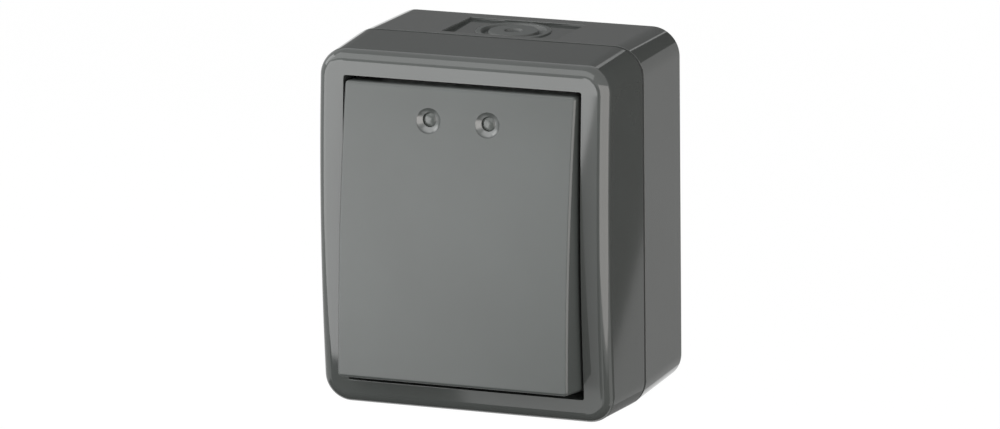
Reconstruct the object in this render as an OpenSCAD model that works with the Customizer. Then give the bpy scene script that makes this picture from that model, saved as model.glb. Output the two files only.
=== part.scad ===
// Surface mounted rocker switch for damp rooms, one gang, with two indicator windows.
// Millimetres. X right, Z up, the wall face lies in the plane Y = 0 and the front faces -Y.
// Modules draw in the switch's own plan: x right, v up, w out from the wall.

/* [Housing] */
// Width across the seam
body_w = 66; // [65:0.5:80]
// Height across the seam
body_h = 77; // [75:0.5:92]
// Depth of the rear box, from the wall to the seam
box_depth = 24; // [22:0.5:34]
// Depth of the front cover, from the seam to the middle of its face
cover_depth = 19.2; // [18:0.2:24]
// Height of the bow in the cover's face
cover_bow = 1.9; // [0.4:0.1:3]
// Corner radius seen from the front
corner_r = 6.5; // [4.5:0.5:9]
// Rounding along the cover's front edge
edge_r = 2.4; // [0.8:0.1:3]
// Wall thickness at the sides
wall = 2.6; // [2.4:0.1:3]
// Thickness of the back wall
back_wall = 2.2; // [1.6:0.1:3]
// How much each side of the box draws in towards the wall
box_draft = 0.5; // [0:0.1:1]
// How much each side of the cover draws in towards the front
cover_draft = 0.8; // [0:0.1:1.2]
// Frame width left and right of the window
frame_side = 6.7; // [6.2:0.1:9]
// Frame height above and below the window
frame_top = 6; // [5.6:0.1:9]

/* [Rocker] */
// Gap between rocker and window at the sides
rocker_gap = 0.5; // [0.4:0.1:0.8]
// Mean gap above and below the rocker when it stands level
rocker_end_gap = 1.25; // [1.2:0.05:2]
// How much further the rocker reaches below its pivot than above it, halved
rocker_shift = 0.35; // [0:0.05:0.4]
// Tilt of the rocker each way from level, degrees
rocker_tilt = 5.9; // [3:0.1:6.2]
// Bow of the rocker face
rocker_bow = 1.4; // [0.4:0.1:2]
// Height of the rocker's face edges above the pivot
rocker_rise = 12.2; // [11:0.1:13]
// Rounding along the rocker's edges
rocker_edge_r = 0.6; // [0.4:0.1:1.6]
// Wall of the rocker
rocker_wall = 1.6; // [1.2:0.1:2]
// Depth of the pivot behind the cover's face
pivot_depth = 9.2; // [9:0.1:11]

/* [Indicator windows] */
// Distance between the two windows
lens_spacing = 13; // [11:0.5:13.5]
// Distance of the windows from the rocker's top edge
lens_drop = 7.2; // [6.5:0.1:9]
// Radius of the round dish
dish_r = 2.7; // [2:0.1:3.4]
// Depth of the round dish
dish_depth = 1; // [0.5:0.1:1.3]
// Radius of the lens
lens_r = 1.5; // [1:0.1:1.6]

/* [Cable entries] */
// Width of the sunken entry panel
panel_w = 25.6; // [20:0.2:34]
// Length of the sunken entry panel
panel_l = 16.6; // [16.2:0.1:17.4]
// Depth of the entry panel
panel_depth = 0.8; // [0.4:0.1:1]
// Radius of the hole that holds the entry grommet
entry_r = 7.6; // [6:0.1:7.8]

/* [Fixing] */
// Distance between the two wall screw holes
fixing_spacing = 55; // [50:1:58]
// Radius of a wall screw hole
fixing_r = 2.2; // [1.8:0.1:2.4]
// Radius of the shaft of every assembly screw
screw_r = 1.45; // [1.2:0.05:1.6]
// Radius of an assembly screw's head
screw_head_r = 2.75; // [2.4:0.05:2.9]

/* [Mechanism] */
// Clearance between the insulating base and its two posts
post_gap = 2; // [1.5:0.1:2.5]
// Clearance between the insulating base and the cover screws' columns
column_gap = 2.5; // [2:0.1:3]
// Clearance under the terminal clamps
clamp_room = 0.6; // [0.3:0.1:2]
// Depth of the contact bridge's pivot behind the rocker's pivot
fulcrum_depth = 17; // [16.9:0.05:17.1]
// Radius of the actuator's journals
journal_r = 2.05; // [1.6:0.05:2.4]
// Running clearance of shafts in their holes
running_gap = 0.05; // [0.02:0.01:0.08]
// Radius of the sprung plunger
plunger_r = 2.05; // [1.8:0.05:2.2]
// Distance from the pivot to the plunger's tip
plunger_reach = 14.4; // [14.2:0.05:14.6]
// Tilt of the contact bridge for each degree of the rocker
bridge_ratio = 0.7; // [0.5:0.05:0.8]

/* [Hidden] */
$fn = 40;

// Overlap that makes cuts run clear through a face
cut = 1;
// Steps in one rounded corner, in one edge rounding, along a bowed side and along a bowed ceiling
corner_steps = 9;
edge_steps = 5;
bow_steps = 12;
hollow_steps = 11;

// Planes, as distances out from the wall
front_w = box_depth + cover_depth;
pivot_w = front_w - pivot_depth;
flange_drop = 4;
flange_t = 2;
flange_top = pivot_w - flange_drop;
flange_base = flange_top - flange_t;
membrane_t = 1.2;
boss_top = flange_base - membrane_t;
screw_room = 2.8;
plate_t = 2;
plate_top = boss_top - screw_room;
plate_base = plate_top - plate_t;
ceiling_w = front_w - cover_bow - 2.5;

// Housing plan
half_w = body_w / 2;
half_h = body_h / 2;
cavity_x = half_w - wall;
cavity_v = half_h - wall;
cavity_r = max(corner_r - wall, 1);
window_x = half_w - frame_side;
window_v = half_h - frame_top;
window_r = 0.5;
collar_t = 1.6;
rebate = 1.2;
rebate_depth = 3;
gasket_t = 1.6;
lip_gap = 0.15;
rib_t = 1.4;

// Cover screws and mechanism screws
boss_r = 3.5;
screw_gap = 0.05;
screw_hole_r = screw_r + 0.25;
pilot_r = screw_r + screw_gap;
screw_l = 15;
cover_screw_x = window_x - 5.8;
cover_screw_v = window_v - 7;
post_room = 5.4;
post_x = cavity_x - post_room;
ear_half = 5;

// Insulating base
base_wall = 1.5;
base_x = post_x - boss_r - post_gap;
base_v = cover_screw_v - boss_r - column_gap;

// Rocker plan, drawn level
rocker_x = window_x - rocker_gap;
rocker_v = window_v - rocker_end_gap;
rocker_draft = 0.25;
rocker_apex = pivot_w + rocker_rise + rocker_bow;
rocker_base = pivot_w + 0.5;
rocker_corner = 0.9;
ceiling_t = 2.2;
rocker_in_x = rocker_x - rocker_wall;
rocker_in_v = rocker_v - rocker_wall;
lens_x = lens_spacing / 2;
lens_v = rocker_v - rocker_shift - lens_drop;
lens_flange_r = lens_r + 0.8;
lens_flange_t = 0.8;
lens_stem = 1.5;

// Neck of the mechanism plate and what stands on it
neck_x = 10.5;
neck_wall = 2;
neck_in = neck_x - neck_wall;
neck_low = -8;
neck_high = lens_v + 4.8;
neck_top = pivot_w - 2.5;
cheek_r = 4.8;
lip_t = 0.9;
lip_top = pivot_w - 3.5;
opening_gap = 2.1;
board_t = 1.2;
board_low = base_v - 3.5;
lamp_r = 1.8;
lamp_v = lens_v + 0.7;
lamp_top = pivot_w + 4.5;
lead_t = 0.8;
lead_x = 4;
lead_v = board_low + 1.2;

// Actuator and plunger
bearing_r = journal_r + running_gap;
actuator_gap = 0.1;
block_x = 5.5;
block_v = 4.5;
block_top = pivot_w + 10.5;
socket_gap = 0.05;
socket_t = 1.5;
hub_r = 3.4;
hub_end = pivot_w - 7.5;
spring_seat = pivot_w + 4;
plunger_top = pivot_w - 1;
plunger_tip = 1.5;
spring_turns = 6;
spring_wire = 0.28;
spring_r = 1.5;

// Contact bridge, strips and terminals
fulcrum_w = pivot_w - fulcrum_depth;
fulcrum_r = 0.5;
tip_gap = 0.04;
bridge_x = 3;
bridge_t = 1;
strip_t = 0.8;
strip_half = 2;
button_r = 1.5;
button_h = 0.6;
term_screw_r = 1.6;
clamp_x = 3;
clamp_v = 2.5;
clamp_t = 0.8;
clamp_thick = 1.3;
clamp_rise = 0.3;
wire_room = 3.8;
wire_r = 1.8;
term_x = base_x - base_wall - clamp_x - 0.5;
term_v = base_v - base_wall - clamp_v - 0.7;
tail_half = 2.2;
tail_end = term_v + clamp_v - 0.3;
tip_r = 1.4;
tip_h = 0.7;
tip_v = term_v - clamp_v - strip_half - 0.8;
bridge_end = tip_v + tip_r + 0.1;
bridge_swing = bridge_ratio * rocker_tilt;
contact_gap = 0.02;
tip_drop = (bridge_t / 2 + tip_h) * cos(bridge_swing) + (tip_v + tip_r) * sin(bridge_swing);
strip_drop = button_h + tip_drop + contact_gap;
strip_top = fulcrum_w - strip_drop;
clamp_low = strip_top - strip_t - wire_room - clamp_t;
clamp_high = fulcrum_w + clamp_rise;
base_back = clamp_low - clamp_room - base_wall;
rib_x = term_x - clamp_x - 0.3;
rib_v = tip_v + strip_half + 0.5;
partition_t = 1;
pillar_r = 2.4;
pillar_gap = 0.3;
rivet_spots = [[-term_x, term_v],
    [rib_x - partition_t - pillar_r - pillar_gap, base_wall + pillar_r + 0.2 - base_v]];
rivet_r = 1.2;
driver_r = 2.7;

// Entry panels
panel_w_mid = box_depth / 2 + 0.6;
panel_floor = half_h - box_draft / 2 - panel_depth;

// Turns the switch's plan into the part's frame
module stand() { rotate([90, 0, 0]) children(); }

// Puts what is drawn level on the rocker into its rest pose, top pressed in
module rocked(angle) { translate([0, 0, pivot_w]) rotate([angle, 0, 0]) translate([0, 0, -pivot_w]) children(); }

// Outline of a rounded rectangle: right side upwards, then its mirror image downwards
function right_side(hx, hv, r, steps, side_steps) = concat(
    [for (k = [0 : steps]) let (a = -90 + 90 * k / steps) [hx - r + r * cos(a), r - hv + r * sin(a)]],
    [for (s = [1 : 1 : side_steps - 1]) [hx, (hv - r) * (2 * s / side_steps - 1)]],
    [for (k = [0 : steps]) let (a = 90 * k / steps) [hx - r + r * cos(a), hv - r + r * sin(a)]]);
function mirrored(side) = concat(side, [for (i = [len(side) - 1 : -1 : 0]) [-side[i].x, side[i].y]]);
function outline(hx, hv, r, steps = 6, side_steps = 1) = mirrored(right_side(hx, hv, r, steps, side_steps));

// Height of a face that bows only from top to bottom
function bowed(apex, bow, hv, v) = apex - bow * pow(v / hv, 2);

// Height of the rocker's face, or of the ceiling under it
function rocker_face(apex, v) = bowed(apex, rocker_bow, rocker_v, v + rocker_shift);

// Solid through rings of equal length, closed below by one face and above by strips from left to right
module loft(rings) {
    m = len(rings[0]);
    last = (len(rings) - 1) * m;
    half = m / 2;
    polyhedron(points = [for (ring = rings) each ring], convexity = 6, faces = concat(
        [[for (i = [0 : m - 1]) i]],
        [for (j = [0 : len(rings) - 2], i = [0 : m - 1]) let (a = j * m + i, b = j * m + (i + 1) % m)
            each [[a, a + m, b + m], [a, b + m, b]]],
        [for (i = [0 : half - 2]) [last + m - 1 - i, last + m - 2 - i, last + i + 1, last + i]]));
}

// Shell with drawn-in sides, a bowed face and a rounded front edge
module bowed_shell(hx, hv, r, low, apex, bow, draft, round_r) {
    foot = [for (p = outline(hx, hv, r, corner_steps, bow_steps)) [p.x, p.y, low]];
    edge = [for (k = [0 : edge_steps]) let (a = 90 * k / edge_steps, d = draft + round_r * (1 - cos(a)))
        [for (p = outline(hx - d, hv - d, max(r - d, 0.2), corner_steps, bow_steps))
            [p.x, p.y, bowed(apex, bow, hv, p.y) - round_r * (1 - sin(a))]]];
    loft(concat([foot], edge));
}

// Straight block with rounded corners
module block(hx, hv, r, low, high) {
    translate([0, 0, low]) linear_extrude(high - low) polygon(outline(hx, hv, r));
}

// Straight block from one height to another, with its own top and bottom ends
module bar(x, v, low, high) {
    translate([x[0], v[0], low]) cube([x[1] - x[0], v[1] - v[0], high - low]);
}

// Range on one side of the middle, in rising order
function span(side, range) = [min(side * range[0], side * range[1]), max(side * range[0], side * range[1])];

// Straight pin along w
module pin(x, v, r, low, high) { translate([x, v, low]) cylinder(r = r, h = high - low); }

// Pin along x
module cross_pin(x, w, r) { translate([x[0], 0, w]) rotate([0, 90, 0]) cylinder(r = r, h = x[1] - x[0]); }

// Ring between two outlines
module ring_block(hx, hv, r, t, low, high) {
    difference() {
        block(hx, hv, r, low, high);
        block(hx - t, hv - t, max(r - t, 0.3), low - cut, high + cut);
    }
}

// Hollow under a bowed ceiling
module bowed_hollow(hx, hv, r, low, apex, bow, bow_half) {
    intersection() {
        block(hx, hv, r, low, apex + cut);
        rotate([90, 0, 90]) translate([0, 0, -hx - cut]) linear_extrude(2 * (hx + cut)) polygon(concat(
            [[-hv - cut, low - cut], [hv + cut, low - cut]],
            [for (k = [0 : hollow_steps]) let (v = (hv + cut) * (1 - 2 * k / hollow_steps))
                [v, bowed(apex, bow, bow_half, v)]]));
    }
}

// Pan head screw with a cross recess, seated at height w
module screw(x, v, w, length) {
    head_h = 1.6;
    recess_w = 0.7;
    recess_l = 3;
    difference() {
        union() {
            pin(x, v, screw_r, w - length, w);
            pin(x, v, screw_head_r, w, w + head_h);
        }
        for (turn = [0, 90]) translate([x, v, w + head_h]) rotate(turn)
            cube([recess_l, recess_w, 1.6], center = true);
    }
}

// Places of the four cover screws
module at_cover_screws() {
    for (sx = [-1, 1], sv = [-1, 1]) translate([sx * cover_screw_x, sv * cover_screw_v, 0]) children();
}

// Outline of the neck, grown all round
module neck_outline(grow) {
    translate([0, (neck_high + neck_low) / 2])
        polygon(outline(neck_x + grow, (neck_high - neck_low) / 2 + grow, max(1.5 + grow, 0.4)));
}

// Rear box
module rear_box() {
    color("#5b5f5d") stand() difference() {
        union() {
            difference() {
                rear_box_outside();
                block(cavity_x, cavity_v, cavity_r, back_wall, box_depth + cut);
                block(cavity_x + rebate, cavity_v + rebate, cavity_r + rebate,
                    box_depth - rebate_depth, box_depth + cut);
            }
            rear_box_bosses();
        }
        entry_panel_cuts();
        at_cover_screws() pin(0, 0, pilot_r, boss_top - screw_l, boss_top + cut);
        for (sx = [-1, 1]) pin(sx * post_x, 0, pilot_r, plate_base - screw_l, plate_base + cut);
        wall_fixing_cuts();
    }
}

module rear_box_outside() {
    back_chamfer = 0.6;
    seam_width = 0.6;
    seam_inset = 0.3;
    rings = [[0, box_draft + back_chamfer], [back_chamfer, box_draft], [box_depth - seam_width, 0],
        [box_depth - seam_width, seam_inset], [box_depth, seam_inset]];
    loft([for (ring = rings) [for (p = outline(half_w - ring[1], half_h - ring[1], corner_r - ring[1], corner_steps))
        [p.x, p.y, ring[0]]]]);
}

// Columns for the screws, each tied to the side wall by a web
module rear_box_bosses() {
    web_top = box_depth - rebate_depth - 1;
    at_cover_screws() pin(0, 0, boss_r, back_wall / 2, boss_top);
    for (sx = [-1, 1], sv = [-1, 1]) bar(span(sx, [cover_screw_x, cavity_x + 0.5]),
        [sv * cover_screw_v - rib_t / 2, sv * cover_screw_v + rib_t / 2], back_wall / 2, web_top);
    for (sx = [-1, 1]) {
        pin(sx * post_x, 0, boss_r, back_wall / 2, plate_base);
        bar(span(sx, [post_x, cavity_x + 0.5]), [-rib_t / 2, rib_t / 2], back_wall / 2, web_top - 1);
    }
    for (sv = [-1, 1]) pin(0, sv * fixing_spacing / 2, fixing_r + 2.2, back_wall / 2, back_wall + 0.8);
}

// Sunken panels and grommet holes in the top and the bottom
module entry_panel_cuts() {
    for (sv = [-1, 1]) {
        translate([0, sv * (panel_floor + 5), panel_w_mid]) cube([panel_w, 10, panel_l], center = true);
        translate([0, sv * half_h, panel_w_mid]) rotate([90, 0, 0]) cylinder(r = entry_r, h = 8, center = true);
    }
}

// Round screw holes and a break-out ring for a cable through the wall
module wall_fixing_cuts() {
    ring_r = 9;
    ring_w = 1.2;
    ring_depth = 1;
    for (sv = [-1, 1]) pin(0, sv * fixing_spacing / 2, fixing_r, -cut, back_wall + 3);
    difference() {
        pin(0, 0, ring_r, -cut, ring_depth);
        pin(0, 0, ring_r - ring_w, -2 * cut, ring_depth + cut);
    }
}

// Front cover
module front_cover() {
    color("#6b6f6e") stand() difference() {
        union() {
            difference() {
                bowed_shell(half_w, half_h, corner_r, box_depth, front_w, cover_bow, cover_draft, edge_r);
                block(cavity_x, cavity_v, cavity_r, box_depth - cut, ceiling_w);
            }
            ring_block(cavity_x + rebate - lip_gap, cavity_v + rebate - lip_gap, cavity_r + rebate - lip_gap,
                rebate - lip_gap, box_depth - rebate_depth + gasket_t, box_depth + 0.4);
            block(window_x + collar_t, window_v + collar_t, window_r + collar_t, flange_base, ceiling_w + 0.5);
            cover_ribs();
        }
        block(window_x, window_v, window_r, flange_top, front_w + cut);
        translate([0, 0, flange_base - cut]) linear_extrude(flange_t + 2 * cut) neck_outline(opening_gap);
        at_cover_screws() pin(0, 0, screw_hole_r, flange_base - cut, flange_top + cut);
    }
}

// Short ribs that tie the collar to the outer wall
module cover_ribs() {
    rib_spots_v = [-1, 0, 1] * window_v / 2;
    rib_spots_x = [-1, 1] * window_x / 2;
    for (sx = [-1, 1], v = rib_spots_v) bar(span(sx, [window_x + collar_t / 2, cavity_x + 0.5]),
        [v - rib_t / 2, v + rib_t / 2], flange_top, ceiling_w + 0.5);
    for (sv = [-1, 1], x = rib_spots_x) bar([x - rib_t / 2, x + rib_t / 2],
        span(sv, [window_v + collar_t / 2, cavity_v + 0.5]), flange_top, ceiling_w + 0.5);
}

// Rubber ring in the rebate of the rear box
module box_gasket() {
    low = box_depth - rebate_depth;
    color("#202020") stand()
        ring_block(cavity_x + rebate, cavity_v + rebate, cavity_r + rebate, rebate, low, low + gasket_t);
}

// Membrane grommet, turned: outer disc, ring groove, centre mark, neck through the wall and inner flange
module entry_grommet() {
    bead_t = 0.3;
    bead_r = entry_r + 0.35;
    flange_t = 1;
    flange_r = entry_r + 1.1;
    neck_r = entry_r - running_gap;
    groove_out = entry_r - 0.7;
    groove_in = entry_r - 2.4;
    mark_r = 1.9;
    seat = panel_floor - cavity_v;
    face = seat + bead_t;
    groove_floor = face - 1;
    mark_floor = face - 0.5;
    rotate_extrude($fn = 56) polygon([
        [0, -flange_t], [flange_r, -flange_t], [flange_r, 0], [neck_r, 0], [neck_r, seat], [bead_r, seat],
        [bead_r, face], [groove_out, face], [groove_out - 0.3, groove_floor], [groove_in + 0.2, groove_floor],
        [groove_in, face], [mark_r, face], [mark_r, mark_floor], [0, mark_floor]]);
}

module top_entry_grommet() {
    color("#4a4d4b") stand() translate([0, cavity_v, panel_w_mid]) rotate([-90, 0, 0]) entry_grommet();
}

module bottom_entry_grommet() {
    color("#4a4d4b") stand() translate([0, -cavity_v, panel_w_mid]) rotate([90, 0, 0]) entry_grommet();
}

// Rubber sheet under the rocker with a lip round the neck
module sealing_membrane() {
    color("#2c2c2c") stand() difference() {
        union() {
            block(window_x + 0.7, window_v + 0.7, 3, boss_top, flange_base);
            translate([0, 0, boss_top]) linear_extrude(lip_top - boss_top) neck_outline(lip_t);
        }
        translate([0, 0, boss_top - cut]) linear_extrude(lip_top - boss_top + 2 * cut) neck_outline(0);
        at_cover_screws() pin(0, 0, screw_hole_r, boss_top - cut, flange_base + cut);
    }
}

module cover_screws() {
    color("#c8ccd0") stand() at_cover_screws() screw(0, 0, flange_top, flange_top - boss_top + screw_l - 2);
}

// Insulating base with walls, strip supports and wire holes
module mechanism_base() {
    support_v = [tip_v - strip_half, rib_v];
    support_x = [0.6 - bridge_x, bridge_x + 4];
    floor_mid = base_back + base_wall / 2;
    wire_w = clamp_low + clamp_t + wire_room / 2;
    color("#d9d6cc") stand() difference() {
        union() {
            difference() {
                block(base_x, base_v, 1.5, base_back, plate_base);
                block(base_x - base_wall, base_v - base_wall, 0.5, base_back + base_wall, plate_base + cut);
            }
            for (sv = [-1, 1]) bar(support_x, span(sv, support_v), floor_mid, strip_top - strip_t);
            for (p = rivet_spots) pin(p.x, p.y, pillar_r, floor_mid, plate_base);
            for (s = [[1, 1], [1, -1], [-1, -1]])
                bar(span(s.x, [rib_x - partition_t, rib_x]), span(s.y, [rib_v, base_v - 1]), floor_mid, plate_base - 1);
        }
        for (p = rivet_spots) pin(p.x, p.y, rivet_r + screw_gap, base_back - cut, plate_base + cut);
        for (sx = [-1, 1], sv = [-1, 1]) if (sx > 0 || sv < 0)
            translate([sx * term_x, sv * base_v, wire_w]) rotate([90, 0, 0])
                cylinder(r = wire_r, h = 4 * base_wall, center = true);
    }
}

// Front plate with ears, neck and the two bearing cheeks
module mechanism_plate() {
    ear_x = post_x + 3.6;
    slot = [3, 4.8];
    color("#d9d6cc") stand() difference() {
        union() {
            block(base_x, base_v, 1.5, plate_base, plate_top);
            block(ear_x, ear_half, 2, plate_base, plate_top);
            translate([0, 0, plate_base]) linear_extrude(neck_top - plate_base) neck_outline(0);
            difference() {
                union() {
                    bar([-neck_x, neck_x], [-cheek_r, cheek_r], plate_top, pivot_w);
                    cross_pin([-neck_x, neck_x], pivot_w, cheek_r);
                }
                bar([-neck_in, neck_in], [-10, 10], plate_top, pivot_w + 10);
            }
        }
        difference() {
            translate([0, 0, plate_top]) linear_extrude(20) neck_outline(-neck_wall);
            bar([-neck_x, neck_x], [board_low - 1, board_low], plate_base, neck_top);
        }
        bar([-neck_in, neck_in], [-cheek_r - 1, cheek_r + 1], neck_top - 1, pivot_w + 10);
        bar([-slot[0], slot[0]], [-slot[1], slot[1]], plate_base - cut, plate_top + cut);
        cross_pin([-neck_x - cut, neck_x + cut], pivot_w, bearing_r);
        for (sx = [-1, 1]) pin(sx * post_x, 0, screw_hole_r, plate_base - cut, plate_top + cut);
        for (sx = [-1, 1], sv = [-1, 1]) if (sx > 0 || sv < 0)
            pin(sx * term_x, sv * term_v, driver_r, plate_base - cut, plate_top + cut);
        for (p = rivet_spots) pin(p.x, p.y, rivet_r + screw_gap, plate_base - cut, plate_top + cut);
        for (sx = [-1, 1]) bar([sx * lead_x - 0.5, sx * lead_x + 0.5], [lead_v - 0.1, lead_v + lead_t + 0.1],
            plate_base - cut, plate_top + cut);
    }
}

module mechanism_rivets() {
    head_r = 2;
    head_h = 0.5;
    color("#c9b27a") stand() for (p = rivet_spots) {
        pin(p.x, p.y, rivet_r, base_back - head_h, plate_top + head_h);
        pin(p.x, p.y, head_r, base_back - head_h, base_back);
        pin(p.x, p.y, head_r, plate_top, plate_top + head_h);
    }
}

module mechanism_screws() {
    color("#c8ccd0") stand() for (sx = [-1, 1]) screw(sx * post_x, 0, plate_top, screw_l - 2);
}

// Common strip: fulcrum blade for the bridge and a tail to its clamp
module common_contact() {
    tail_x = [-term_x - tail_half, -term_x + tail_half];
    low = strip_top - strip_t;
    arm = 1.5;
    foot_x = 0.5;
    color("#c98a4a") stand() {
        bar([-bridge_x, bridge_x], [-fulcrum_r, fulcrum_r], base_back + base_wall, fulcrum_w);
        cross_pin([-bridge_x, bridge_x], fulcrum_w, fulcrum_r);
        bar([tail_x[0], foot_x - bridge_x], [-arm, arm], low, strip_top);
        bar([-foot_x - bridge_x, foot_x - bridge_x], [-arm, arm], base_back + base_wall, strip_top);
        bar(tail_x, [-tail_end, arm], low, strip_top);
    }
}

// Fixed strip with a contact button under the bridge's tip and a tail to its clamp
module fixed_contact(sv) {
    low = strip_top - strip_t;
    tail_x = [term_x - tail_half, term_x + tail_half];
    strip_v = [tip_v - strip_half, tip_v + strip_half];
    bar([0.5 - bridge_x, tail_x[1]], span(sv, strip_v), low, strip_top);
    bar(tail_x, span(sv, [strip_v[0], tail_end]), low, strip_top);
    pin(0, sv * tip_v, button_r, low, strip_top + button_h);
}

module upper_contact() { color("#c98a4a") stand() fixed_contact(1); }

module lower_contact() { color("#c98a4a") stand() fixed_contact(-1); }

// Places of the three terminals
module at_terminals() {
    for (p = [[1, 1], [1, -1], [-1, -1]]) translate([p.x * term_x, p.y * term_v, 0]) children();
}

module terminal_clamps() {
    color("#b8bcc0") stand() at_terminals() difference() {
        bar([-clamp_x, clamp_x], [-clamp_v, clamp_v], clamp_low, clamp_high);
        bar([clamp_t - clamp_x, clamp_x - clamp_t], [-clamp_v - cut, clamp_v + cut],
            clamp_low + clamp_t, clamp_high - clamp_thick);
        pin(0, 0, term_screw_r + screw_gap, clamp_high - 2 * clamp_thick, clamp_high + cut);
    }
}

module terminal_screws() {
    head_low = clamp_high + 1;
    head_high = plate_base + 0.6;
    head_r = 2.4;
    slot_w = 0.8;
    color("#c8ccd0") stand() at_terminals() difference() {
        union() {
            pin(0, 0, term_screw_r, strip_top, head_low);
            pin(0, 0, head_r, head_low, head_high);
        }
        bar([-head_r - cut, head_r + cut], [-slot_w / 2, slot_w / 2], head_high - 1, head_high + cut);
    }
}

module lamp_board() {
    color("#7a9a5a") stand() difference() {
        bar([-neck_x, neck_x], [board_low, neck_high], neck_top, neck_top + board_t);
        for (sx = [-1, 1]) bar([sx * lead_x - lead_t / 2, sx * lead_x + lead_t / 2], [lead_v, lead_v + lead_t],
            neck_top - cut, neck_top + board_t + cut);
    }
}

// Small lamp with a round head
module pilot_lamp(x) {
    base_r = lamp_r + 0.3;
    base_h = 0.7;
    low = neck_top + board_t;
    stand() {
        pin(x, lamp_v, lamp_r, low, lamp_top - lamp_r);
        pin(x, lamp_v, base_r, low, low + base_h);
        translate([x, lamp_v, lamp_top - lamp_r]) sphere(r = lamp_r);
    }
}

module pilot_lamp_left() { color("#f0d8c0") pilot_lamp(-lens_x); }

module pilot_lamp_right() { color("#f0d8c0") pilot_lamp(lens_x); }

// Flat leads from the board to the common strip and to the upper strip
module lamp_leads() {
    ends = [[lead_x, tip_v], [-lead_x, 0]];
    color("#c8ccd0") stand() for (p = ends) {
        bar([p.x - lead_t / 2, p.x + lead_t / 2], [lead_v, lead_v + lead_t], strip_top, neck_top + board_t + 0.4);
        bar([p.x - lead_t / 2, p.x + lead_t / 2], [p.y, lead_v + lead_t], strip_top, strip_top + lead_t);
    }
}

// Rocker shell with dishes, lens holes, ribs and the socket for the actuator
module rocker() {
    color("#747876") stand() rocked(-rocker_tilt) difference() {
        union() {
            difference() {
                rocker_shifted() bowed_shell(rocker_x, rocker_v, rocker_corner, rocker_base, rocker_apex, rocker_bow,
                    rocker_draft, rocker_edge_r);
                rocker_shifted() bowed_hollow(rocker_in_x, rocker_in_v, 0.8, rocker_base - cut,
                    rocker_apex - ceiling_t, rocker_bow, rocker_v);
            }
            rocker_shifted() rocker_ribs();
            bar([-block_x - socket_gap - socket_t, block_x + socket_gap + socket_t],
                [-block_v - socket_gap - socket_t, block_v + socket_gap + socket_t],
                pivot_w + 3.5, rocker_apex - ceiling_t + 0.6);
        }
        bar([-block_x - socket_gap, block_x + socket_gap], [-block_v - socket_gap, block_v + socket_gap],
            rocker_base - cut, block_top);
        for (sv = [-1, 1]) bar([-2.6, 2.6], [sv * (block_v + 1) - 1.2, sv * (block_v + 1) + 1.2],
            block_top - 4.6, block_top - 3);
        for (sx = [-1, 1]) translate([sx * lens_x, lens_v, 0]) {
            dish_cut();
            pin(0, 0, lens_r + socket_gap, rocker_base, rocker_apex + cut);
        }
    }
}

// Cap of the rocker, a little longer below the pivot than above it
module rocker_shifted() { translate([0, -rocker_shift, 0]) children(); }

// Ball that leaves a round dish in the rocker's face
module dish_cut() {
    ball_r = (pow(dish_r, 2) + pow(dish_depth, 2)) / (2 * dish_depth);
    face = rocker_face(rocker_apex, lens_v);
    translate([0, 0, face - dish_depth + ball_r]) rotate([90, 0, 0]) sphere(r = ball_r, $fn = 64);
}

// Stiffening ribs under the rocker's face
module rocker_ribs() {
    rib = 1.2;
    rib_depth = 3.2;
    low = rocker_apex - rocker_bow - ceiling_t - rib_depth;
    long_x = 14;
    cross_v = 12;
    high = rocker_apex - rocker_bow - 0.5;
    for (sx = [-1, 1]) bar([sx * long_x - rib / 2, sx * long_x + rib / 2], [-rocker_in_v - 0.5, rocker_in_v + 0.5],
        low, high);
    for (sv = [-1, 1]) bar([-rocker_in_x - 0.5, rocker_in_x + 0.5], [sv * cross_v - rib / 2, sv * cross_v + rib / 2],
        low, high);
}

// Clear lens: pin with a domed front in the dish and a flange behind the face
module lens(x) {
    face = rocker_face(rocker_apex, lens_v);
    seat = rocker_face(rocker_apex - ceiling_t, lens_v + lens_flange_r);
    crown = face - dish_depth + 0.15;
    dome_r = 2.2;
    stand() rocked(-rocker_tilt) translate([x, lens_v, 0]) {
        intersection() {
            pin(0, 0, lens_r, seat - lens_flange_t, face);
            translate([0, 0, crown - dome_r]) rotate([90, 0, 0]) sphere(r = dome_r, $fn = 48);
        }
        pin(0, 0, lens_r, seat - lens_flange_t - lens_stem, crown - 1);
        pin(0, 0, lens_flange_r, seat - lens_flange_t, seat);
    }
}

module lens_left() { color("#9aa09c") lens(-lens_x); }

module lens_right() { color("#9aa09c") lens(lens_x); }

// Cradle that carries the rocker on two journals and guides the plunger
module actuator() {
    bar_x = neck_in - actuator_gap;
    hook = 0.4;
    color("#e4e0d6") stand() rocked(-rocker_tilt) difference() {
        union() {
            bar([-bar_x, bar_x], [-3.8, 3.8], pivot_w - 3, pivot_w + 3);
            bar([-block_x, block_x], [-block_v, block_v], pivot_w + 2, block_top);
            cross_pin([-neck_x, neck_x], pivot_w, journal_r);
            pin(0, 0, hub_r, hub_end, pivot_w);
            bar([-2.4, 2.4], [-block_v - hook, block_v + hook], block_top - 4.4, block_top - 3.2);
        }
        pin(0, 0, plunger_r + running_gap, hub_end - cut, spring_seat);
    }
}

module plunger() {
    spot_r = 1;
    color("#e9e9e4") stand() rocked(-rocker_tilt) {
        pin(0, 0, plunger_r, pivot_w - plunger_reach + 3.2, plunger_top);
        pin(0, 0, plunger_tip, pivot_w - plunger_reach + plunger_tip, pivot_w - plunger_reach + 4);
        translate([0, 0, pivot_w - plunger_reach + plunger_tip]) sphere(r = plunger_tip);
        pin(0, 0, spot_r, plunger_top, plunger_top + 1);
    }
}

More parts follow.
